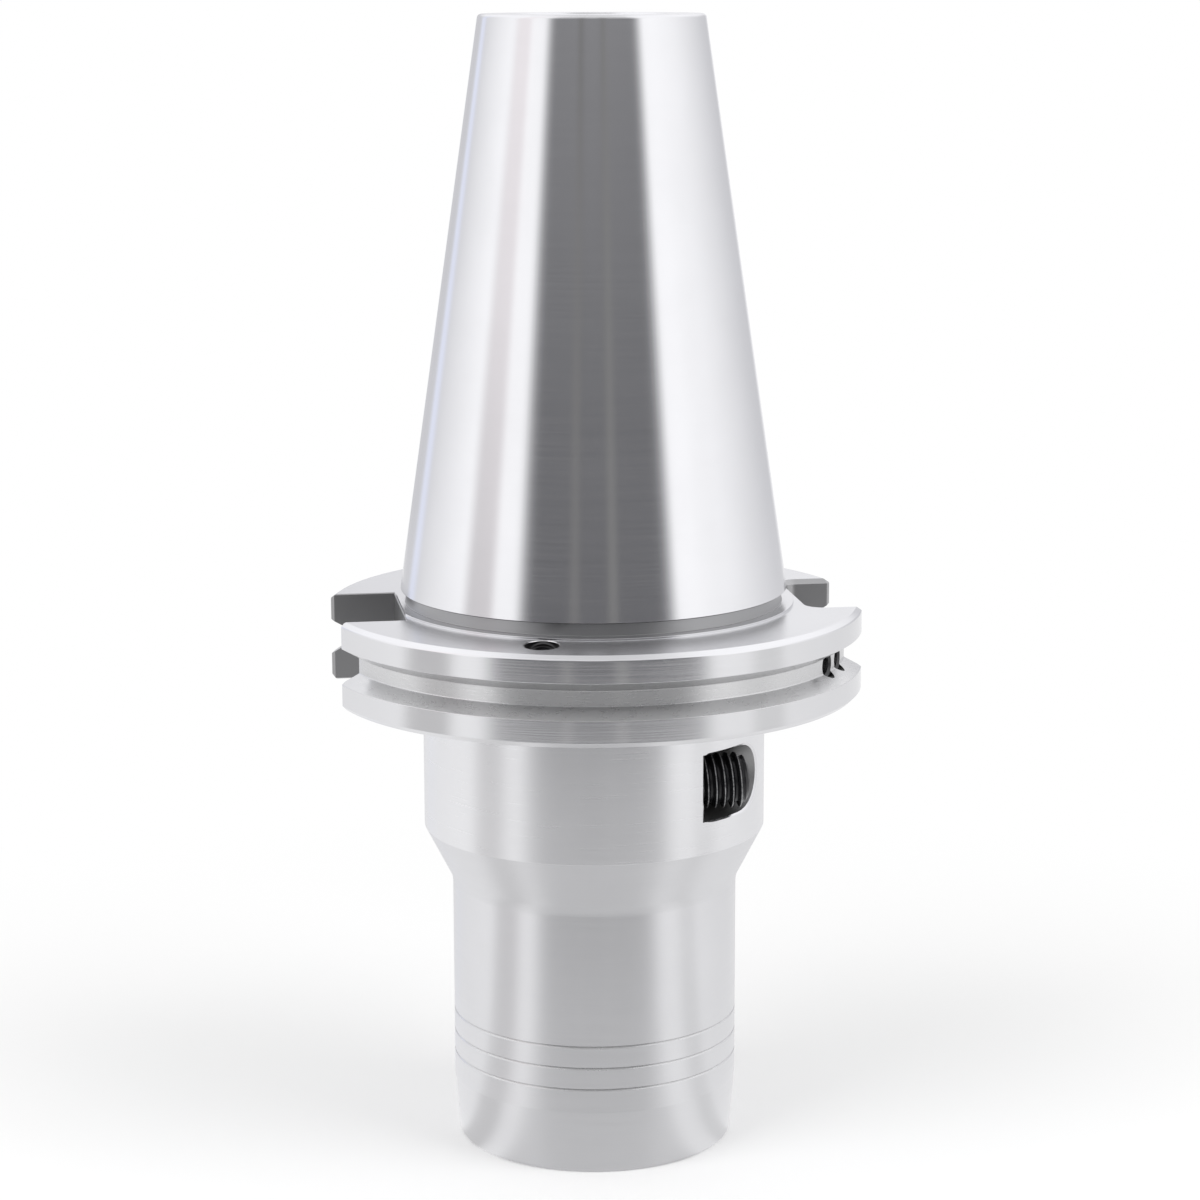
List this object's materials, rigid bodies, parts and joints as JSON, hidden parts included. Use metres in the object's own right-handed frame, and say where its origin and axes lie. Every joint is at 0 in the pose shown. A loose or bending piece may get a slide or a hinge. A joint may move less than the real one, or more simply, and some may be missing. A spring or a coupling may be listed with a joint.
{
  "type": "hydraulic chuck",
  "caption": "Hydraulic expansion tool holder with a 7/24 steep-taper shank, a V-flange with drive keyways, a side clamping screw and a thin clamping sleeve in its nose.",
  "frame": {"origin": "centre of the nose face, which the holder stands on", "axes": "+Z along the axis towards the taper's small end, +X through the shallow keyway; the clamping screw lies along X on the -Y side with its socket towards +X"},
  "size_m": [0.0938, 0.0974, 0.2052],
  "materials": {
    "holder_steel": "ground taper, satin turned body, fine turning marks",
    "sleeve_steel": "ground and honed",
    "black_oxide": "black-oxide alloy steel, slightly oily",
    "piston_steel": "ground and hardened",
    "ball_steel": "polished bearing ball",
    "seal_rubber": "smooth nitrile rubber",
    "backup_plastic": "smooth low-friction plastic"
  },
  "bodies": {
    "holder": {"holder_body": "holder_steel", "expansion_sleeve": "sleeve_steel", "bleed_ball": "ball_steel", "bleed_screw": "black_oxide", "coolant_plug_1": "black_oxide", "coolant_plug_2": "black_oxide"},
    "piston": {"pressure_piston": "piston_steel", "piston_seal": "seal_rubber", "piston_backup_ring": "backup_plastic"},
    "clamping_screw": {"clamping_screw": "black_oxide"},
    "stop_seal": {"length_screw_seal": "seal_rubber"},
    "length_stop": {"length_adjusting_screw": "black_oxide"}
  },
  "joints": [
    {"name": "piston_travel", "type": "slide", "parent": "holder", "child": "piston", "axis": [-1, 0, 0], "range_m": [0, 0.0045]},
    {"name": "clamping_turn", "type": "hinge", "parent": "piston", "child": "clamping_screw", "pos_m": [0.0163, -0.021, 0.0711], "axis": [-1, 0, 0], "range_deg": [0, 1080]},
    {"name": "stop_travel", "type": "slide", "parent": "holder", "child": "stop_seal", "axis": [0, 0, -1], "range_m": [0, 0.01]},
    {"name": "stop_turn", "type": "hinge", "parent": "stop_seal", "child": "length_stop", "pos_m": [0, 0, 0.07], "axis": [0, 0, -1], "range_deg": [0, 3600]}
  ],
  "couplings": [
    {"joint": "piston_travel", "follows": "clamping_turn", "m_per_rad": 0.00023873},
    {"joint": "stop_travel", "follows": "stop_turn", "m_per_rad": 0.00015915}
  ]
}
